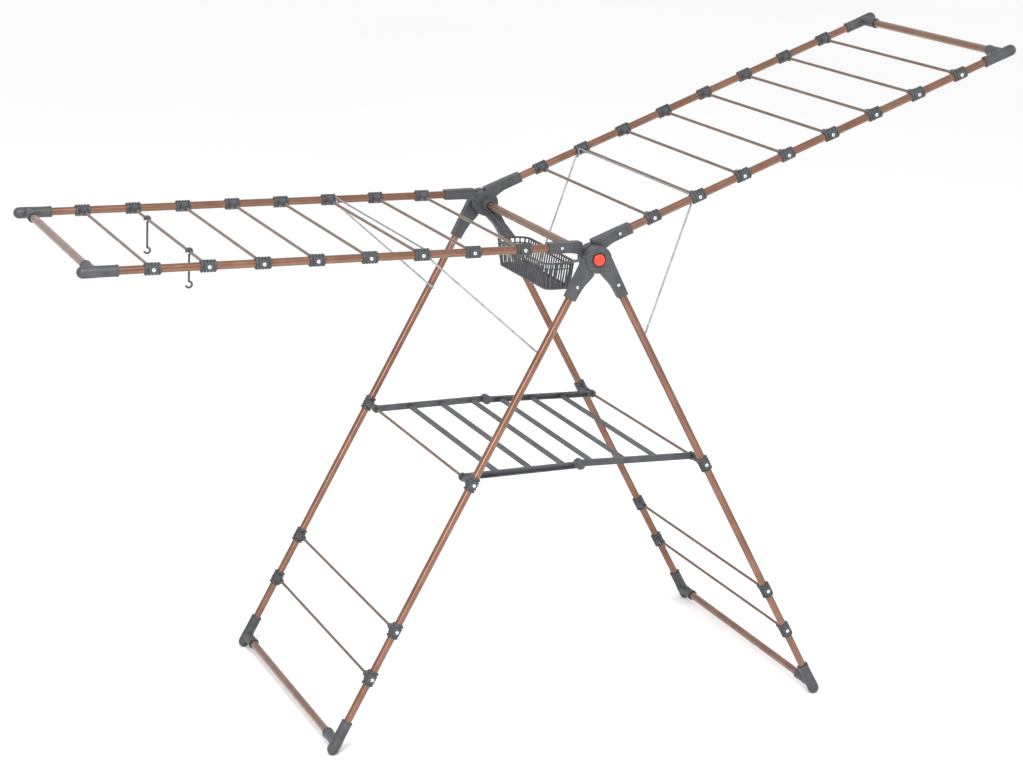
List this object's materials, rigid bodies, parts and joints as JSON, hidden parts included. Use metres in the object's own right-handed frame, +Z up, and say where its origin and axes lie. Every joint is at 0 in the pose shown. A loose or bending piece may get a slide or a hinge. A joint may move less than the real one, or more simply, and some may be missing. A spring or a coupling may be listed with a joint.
{
  "type": "folding clothes airer",
  "caption": "Free-standing winged clothes airer: crossed leg frames, two hinged wings of drying rungs held up by wire stays, a folding shelf and a peg basket.",
  "frame": {"origin": "centre of the footprint box at floor level", "axes": "+X along the wings towards the raised one, +Y across the rungs' length, +Z up"},
  "size_m": [1.7185, 0.5966, 1.2025],
  "materials": {
    "copper_enamel": "satin",
    "rung_enamel": "satin paint",
    "anthracite_plastic": "matte moulded",
    "zinc_wire": "zinc plated",
    "red_plastic": "gloss moulded"
  },
  "bodies": {
    "right_leg_frame": {"basket": "anthracite_plastic", "central_tube": "copper_enamel", "hub_cap_far": "red_plastic", "hub_cap_near": "red_plastic", "right_leg_arm_far": "anthracite_plastic", "right_leg_arm_near": "anthracite_plastic", "right_leg_bottom_bar": "copper_enamel", "right_leg_foot_far": "anthracite_plastic", "right_leg_foot_near": "anthracite_plastic", "right_leg_rung_1": "rung_enamel", "right_leg_rung_2": "rung_enamel", "right_leg_shelf_rod": "rung_enamel", "right_leg_tube_far": "copper_enamel", "right_leg_tube_near": "copper_enamel"},
    "hook_far": {"hanger_hook_far": "anthracite_plastic"},
    "hook_near": {"hanger_hook_near": "anthracite_plastic"},
    "left_leg_frame": {"left_leg_arm_far": "anthracite_plastic", "left_leg_arm_near": "anthracite_plastic", "left_leg_bottom_bar": "copper_enamel", "left_leg_foot_far": "anthracite_plastic", "left_leg_foot_near": "anthracite_plastic", "left_leg_rung_1": "rung_enamel", "left_leg_rung_2": "rung_enamel", "left_leg_shelf_rod": "rung_enamel", "left_leg_tube_far": "copper_enamel", "left_leg_tube_near": "copper_enamel"},
    "left_stay": {"left_stay": "zinc_wire"},
    "left_wing": {"left_wing_arm_far": "anthracite_plastic", "left_wing_arm_near": "anthracite_plastic", "left_wing_corner_far": "anthracite_plastic", "left_wing_corner_near": "anthracite_plastic", "left_wing_end_tube": "copper_enamel", "left_wing_rung_1": "rung_enamel", "left_wing_rung_2": "rung_enamel", "left_wing_rung_3": "rung_enamel", "left_wing_rung_4": "rung_enamel", "left_wing_rung_5": "rung_enamel", "left_wing_rung_6": "rung_enamel", "left_wing_rung_7": "rung_enamel", "left_wing_rung_8": "rung_enamel", "left_wing_tube_far": "copper_enamel", "left_wing_tube_near": "copper_enamel"},
    "right_stay": {"right_stay": "zinc_wire"},
    "right_wing": {"right_wing_arm_far": "anthracite_plastic", "right_wing_arm_near": "anthracite_plastic", "right_wing_corner_far": "anthracite_plastic", "right_wing_corner_near": "anthracite_plastic", "right_wing_end_tube": "copper_enamel", "right_wing_rung_1": "rung_enamel", "right_wing_rung_2": "rung_enamel", "right_wing_rung_3": "rung_enamel", "right_wing_rung_4": "rung_enamel", "right_wing_rung_5": "rung_enamel", "right_wing_rung_6": "rung_enamel", "right_wing_rung_7": "rung_enamel", "right_wing_rung_8": "rung_enamel", "right_wing_tube_far": "copper_enamel", "right_wing_tube_near": "copper_enamel"},
    "shelf_left": {"shelf_left_half": "anthracite_plastic"},
    "shelf_right": {"shelf_right_half": "anthracite_plastic"}
  },
  "joints": [
    {"name": "left_leg_fold", "type": "hinge", "parent": "right_leg_frame", "child": "left_leg_frame", "pos_m": [0.03421, 0, 0.8515], "axis": [0, -1, 0], "range_deg": [0, 7]},
    {"name": "left_wing_lift", "type": "hinge", "parent": "right_leg_frame", "child": "left_wing", "pos_m": [0.03421, 0, 0.8515], "axis": [0, 1, 0], "range_deg": [0, 15]},
    {"name": "right_wing_lift", "type": "hinge", "parent": "right_leg_frame", "child": "right_wing", "pos_m": [0.03421, 0, 0.8515], "axis": [0, -1, 0], "range_deg": [0, 12]},
    {"name": "left_stay_swing", "type": "hinge", "parent": "left_leg_frame", "child": "left_stay", "pos_m": [-0.06671, 0, 0.69007], "axis": [0, 1, 0], "range_deg": [0, 15]},
    {"name": "right_stay_swing", "type": "hinge", "parent": "right_leg_frame", "child": "right_stay", "pos_m": [0.13514, 0, 0.69007], "axis": [0, -1, 0], "range_deg": [0, 12]},
    {"name": "shelf_left_tilt", "type": "hinge", "parent": "left_leg_frame", "child": "shelf_left", "pos_m": [-0.18733, 0, 0.467], "axis": [0, -1, 0], "range_deg": [0, 22.4]},
    {"name": "shelf_right_tilt", "type": "hinge", "parent": "right_leg_frame", "child": "shelf_right", "pos_m": [0.25576, 0, 0.467], "axis": [0, 1, 0], "range_deg": [0, 22.4]},
    {"name": "hook_near_swing", "type": "hinge", "parent": "left_wing", "child": "hook_near", "pos_m": [-0.64459, -0.1405, 0.8705], "axis": [0, 1, 0], "range_deg": [-60, 60]},
    {"name": "hook_far_swing", "type": "hinge", "parent": "left_wing", "child": "hook_far", "pos_m": [-0.64459, 0.1536, 0.8705], "axis": [0, 1, 0], "range_deg": [-60, 60]}
  ],
  "couplings": [
    {"joint": "left_stay_swing", "follows": "left_wing_lift", "ratio": 1},
    {"joint": "right_stay_swing", "follows": "right_wing_lift", "ratio": 1},
    {"joint": "shelf_left_tilt", "follows": "left_leg_fold", "ratio": 3.19},
    {"joint": "shelf_right_tilt", "follows": "left_leg_fold", "ratio": 3.19}
  ]
}
